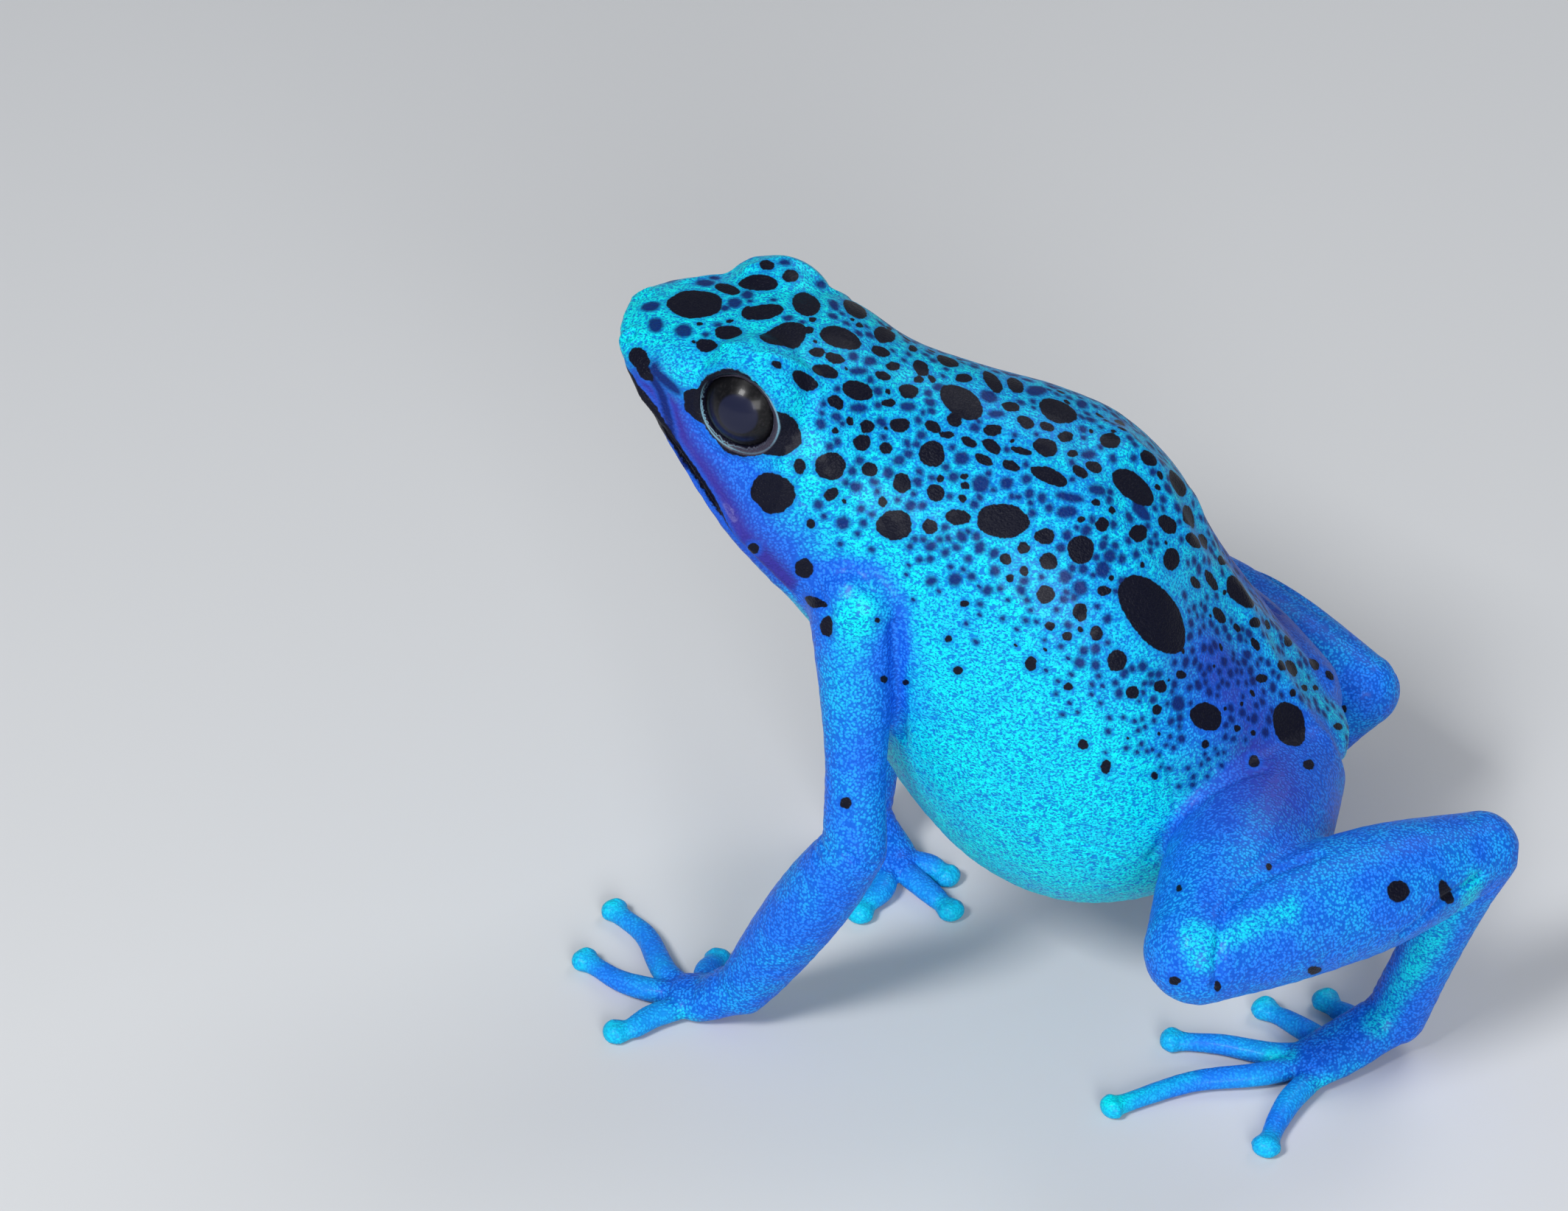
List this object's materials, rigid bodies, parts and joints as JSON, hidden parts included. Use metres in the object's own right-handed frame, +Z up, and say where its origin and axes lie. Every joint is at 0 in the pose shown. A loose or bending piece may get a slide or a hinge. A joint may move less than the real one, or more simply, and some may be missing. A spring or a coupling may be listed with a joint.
{
  "type": "blue poison dart frog model",
  "caption": "Still life-size model of a blue poison dart frog sitting up on its hands and folded hind legs.",
  "frame": {"origin": "centre of the model's box at floor level, under the hands and feet", "axes": "+X to the frog's left, -Y the way it faces, +Z up; the floor is at z = 0"},
  "size_m": [0.0384, 0.0468, 0.0372],
  "materials": {
    "sky_blue_skin": "moist, finely granular skin, sky blue with black spots",
    "azure_skin": "moist, finely granular deep azure skin",
    "digit_skin": "moist azure skin with cyan pads",
    "eye": "wet, glossy, near black"
  },
  "bodies": {
    "root": {"head": "sky_blue_skin", "lower_jaw": "sky_blue_skin", "torso": "sky_blue_skin", "eye_left": "eye", "eye_right": "eye", "upper_arm_left": "azure_skin", "forearm_left": "azure_skin", "hand_left": "azure_skin", "thumb_left": "digit_skin", "index_finger_left": "digit_skin", "middle_finger_left": "digit_skin", "outer_finger_left": "digit_skin", "upper_arm_right": "azure_skin", "forearm_right": "azure_skin", "hand_right": "azure_skin", "thumb_right": "digit_skin", "index_finger_right": "digit_skin", "middle_finger_right": "digit_skin", "outer_finger_right": "digit_skin", "thigh_left": "azure_skin", "shank_left": "azure_skin", "tarsus_left": "azure_skin", "foot_left": "azure_skin", "first_toe_left": "digit_skin", "second_toe_left": "digit_skin", "third_toe_left": "digit_skin", "fourth_toe_left": "digit_skin", "fifth_toe_left": "digit_skin", "thigh_right": "azure_skin", "shank_right": "azure_skin", "tarsus_right": "azure_skin", "foot_right": "azure_skin", "first_toe_right": "digit_skin", "second_toe_right": "digit_skin", "third_toe_right": "digit_skin", "fourth_toe_right": "digit_skin", "fifth_toe_right": "digit_skin"}
  },
  "joints": []
}
